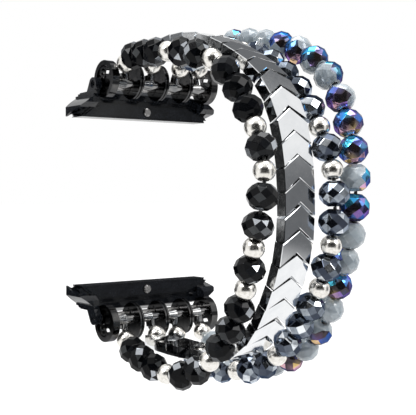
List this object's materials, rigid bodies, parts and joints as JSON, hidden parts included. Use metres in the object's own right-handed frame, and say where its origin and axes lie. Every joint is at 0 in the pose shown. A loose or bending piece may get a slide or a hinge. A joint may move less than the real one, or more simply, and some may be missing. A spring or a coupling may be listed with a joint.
{
  "type": "beaded watch band",
  "caption": "Stretch band with strands of faceted stone beads, arrow-shaped plates and silver balls, with swivelling openwork connectors and slide-in lug adapters.",
  "frame": {"origin": "halfway between the two lug seat planes, on the mid plane of the band and of the lug slots", "axes": "+X across the band from strand 1 to strand 4, -Y from the lugs out to the far side of the loop, +Z from the bottom lug to the top lug"},
  "size_m": [0.035, 0.0629, 0.0735],
  "materials": {
    "onyx": "polished, faceted",
    "hematite": "mirror polished",
    "gunmetal_crystal": "faceted, metallic coat",
    "agate": "polished, faceted, some with a rainbow coat",
    "silver_ball": "polished",
    "elastic_cord": "satin",
    "black_plating": "glossy black plating",
    "pin_steel": "turned",
    "spring_steel": "plain"
  },
  "bodies": {
    "top_adapter": {"top_lug_adapter": "black_plating", "top_latch_spring": "spring_steel"},
    "top_latch": {"top_lug_latch": "pin_steel"},
    "top_connector": {"top_connector_frame": "black_plating", "top_spring_bar_tube": "pin_steel", "top_spring_bar_spring": "spring_steel"},
    "top_tip_left": {"top_spring_bar_tip_left": "pin_steel"},
    "top_tip_right": {"top_spring_bar_tip_right": "pin_steel"},
    "bottom_adapter": {"bottom_lug_adapter": "black_plating", "bottom_latch_spring": "spring_steel"},
    "bottom_latch": {"bottom_lug_latch": "pin_steel"},
    "bottom_connector": {"bottom_connector_frame": "black_plating", "bottom_spring_bar_tube": "pin_steel", "bottom_spring_bar_spring": "spring_steel"},
    "bottom_tip_left": {"bottom_spring_bar_tip_left": "pin_steel"},
    "bottom_tip_right": {"bottom_spring_bar_tip_right": "pin_steel"},
    "row_1": {"row_1_onyx_beads": "onyx", "row_1_chevron_plates": "hematite", "row_1_gunmetal_beads": "gunmetal_crystal", "row_1_agate_beads": "agate", "row_1_silver_balls": "silver_ball", "row_1_cords": "elastic_cord", "top_end_fittings": "black_plating"},
    "stretch_1": {"bridge_cords_1": "elastic_cord"},
    "row_2": {"row_2_onyx_beads": "onyx", "row_2_chevron_plates": "hematite", "row_2_gunmetal_beads": "gunmetal_crystal", "row_2_agate_beads": "agate", "row_2_silver_balls": "silver_ball", "row_2_cords": "elastic_cord"},
    "stretch_2": {"bridge_cords_2": "elastic_cord"},
    "row_3": {"row_3_onyx_beads": "onyx", "row_3_chevron_plates": "hematite", "row_3_gunmetal_beads": "gunmetal_crystal", "row_3_agate_beads": "agate", "row_3_silver_balls": "silver_ball", "row_3_cords": "elastic_cord"},
    "stretch_3": {"bridge_cords_3": "elastic_cord"},
    "row_4": {"row_4_onyx_beads": "onyx", "row_4_chevron_plates": "hematite", "row_4_gunmetal_beads": "gunmetal_crystal", "row_4_agate_beads": "agate", "row_4_silver_balls": "silver_ball", "row_4_cords": "elastic_cord"},
    "stretch_4": {"bridge_cords_4": "elastic_cord"},
    "row_5": {"row_5_onyx_beads": "onyx", "row_5_chevron_plates": "hematite", "row_5_gunmetal_beads": "gunmetal_crystal", "row_5_agate_beads": "agate", "row_5_silver_balls": "silver_ball", "row_5_cords": "elastic_cord"},
    "stretch_5": {"bridge_cords_5": "elastic_cord"},
    "row_6": {"row_6_onyx_beads": "onyx", "row_6_chevron_plates": "hematite", "row_6_gunmetal_beads": "gunmetal_crystal", "row_6_agate_beads": "agate", "row_6_silver_balls": "silver_ball", "row_6_cords": "elastic_cord", "bottom_end_fittings": "black_plating"}
  },
  "joints": [
    {"name": "top_latch_slide", "type": "slide", "parent": "top_adapter", "child": "top_latch", "axis": [0, 1, 0], "range_m": [0, 0.0005], "stiffness_N_per_m": 400, "springref_m": -0.0005, "deforming": ["top_latch_spring"]},
    {"name": "top_swing", "type": "hinge", "parent": "top_adapter", "child": "top_connector", "pos_m": [0, -0.005, 0.0246], "axis": [-1, 0, 0], "range_deg": [-20, 60]},
    {"name": "top_tip_left_slide", "type": "slide", "parent": "top_connector", "child": "top_tip_left", "axis": [1, 0, 0], "range_m": [0, 0.0013], "stiffness_N_per_m": 600, "springref_m": -0.001, "deforming": ["top_spring_bar_spring"]},
    {"name": "top_tip_right_slide", "type": "slide", "parent": "top_connector", "child": "top_tip_right", "axis": [-1, 0, 0], "range_m": [0, 0.0013], "stiffness_N_per_m": 600, "springref_m": -0.001, "deforming": ["top_spring_bar_spring"]},
    {"name": "top_bar_swivel", "type": "hinge", "parent": "top_connector", "child": "row_1", "pos_m": [0, -0.0086, 0.0249], "axis": [-1, 0, 0], "range_deg": [-20, 8]},
    {"name": "flex_1", "type": "hinge", "parent": "row_1", "child": "stretch_1", "pos_m": [0, -0.03016, 0.03364], "axis": [-1, 0, 0], "range_deg": [-2, 12]},
    {"name": "pull_1", "type": "slide", "parent": "stretch_1", "child": "row_2", "axis": [0, -0.9768, -0.2143], "range_m": [0, 0.004], "stiffness_N_per_m": 600, "springref_m": -0.002, "deforming": ["bridge_cords_1"]},
    {"name": "flex_2", "type": "hinge", "parent": "row_2", "child": "stretch_2", "pos_m": [0, -0.05258, 0.02256], "axis": [-1, 0, 0], "range_deg": [-2, 12]},
    {"name": "pull_2", "type": "slide", "parent": "stretch_2", "child": "row_3", "axis": [0, -0.5867, -0.8098], "range_m": [0, 0.004], "deforming": ["bridge_cords_2"]},
    {"name": "flex_3", "type": "hinge", "parent": "row_3", "child": "stretch_3", "pos_m": [0, -0.05897, -0.00076], "axis": [-1, 0, 0], "range_deg": [-2, 12]},
    {"name": "pull_3", "type": "slide", "parent": "stretch_3", "child": "row_4", "axis": [0, 0.1545, -0.988], "range_m": [0, 0.004], "deforming": ["bridge_cords_3"]},
    {"name": "flex_4", "type": "hinge", "parent": "row_4", "child": "stretch_4", "pos_m": [0, -0.04962, -0.02348], "axis": [-1, 0, 0], "range_deg": [-2, 12]},
    {"name": "pull_4", "type": "slide", "parent": "stretch_4", "child": "row_5", "axis": [0, 0.6415, -0.7671], "range_m": [0, 0.004], "deforming": ["bridge_cords_4"]},
    {"name": "flex_5", "type": "hinge", "parent": "row_5", "child": "stretch_5", "pos_m": [0, -0.02968, -0.03539], "axis": [-1, 0, 0], "range_deg": [-2, 12]},
    {"name": "pull_5", "type": "slide", "parent": "stretch_5", "child": "row_6", "axis": [0, 1, -0.0093], "range_m": [0, 0.004], "deforming": ["bridge_cords_5"]},
    {"name": "bottom_bar_swivel", "type": "hinge", "parent": "row_6", "child": "bottom_connector", "pos_m": [0, -0.0086, -0.0249], "axis": [-1, 0, 0], "range_deg": [-20, 8]},
    {"name": "bottom_tip_left_slide", "type": "slide", "parent": "bottom_connector", "child": "bottom_tip_left", "axis": [1, 0, 0], "range_m": [0, 0.0013], "stiffness_N_per_m": 600, "springref_m": -0.001, "deforming": ["bottom_spring_bar_spring"]},
    {"name": "bottom_tip_right_slide", "type": "slide", "parent": "bottom_connector", "child": "bottom_tip_right", "axis": [-1, 0, 0], "range_m": [0, 0.0013], "stiffness_N_per_m": 600, "springref_m": -0.001, "deforming": ["bottom_spring_bar_spring"]},
    {"name": "bottom_swing", "type": "hinge", "parent": "bottom_connector", "child": "bottom_adapter", "pos_m": [0, -0.005, -0.0246], "axis": [-1, 0, 0], "range_deg": [-20, 60]},
    {"name": "bottom_latch_slide", "type": "slide", "parent": "bottom_adapter", "child": "bottom_latch", "axis": [0, 1, 0], "range_m": [0, 0.0005], "stiffness_N_per_m": 400, "springref_m": -0.0005, "deforming": ["bottom_latch_spring"]}
  ],
  "couplings": [
    {"joint": "pull_2", "follows": "pull_1", "ratio": 1},
    {"joint": "pull_3", "follows": "pull_1", "ratio": 1},
    {"joint": "pull_4", "follows": "pull_1", "ratio": 1},
    {"joint": "pull_5", "follows": "pull_1", "ratio": 1}
  ]
}
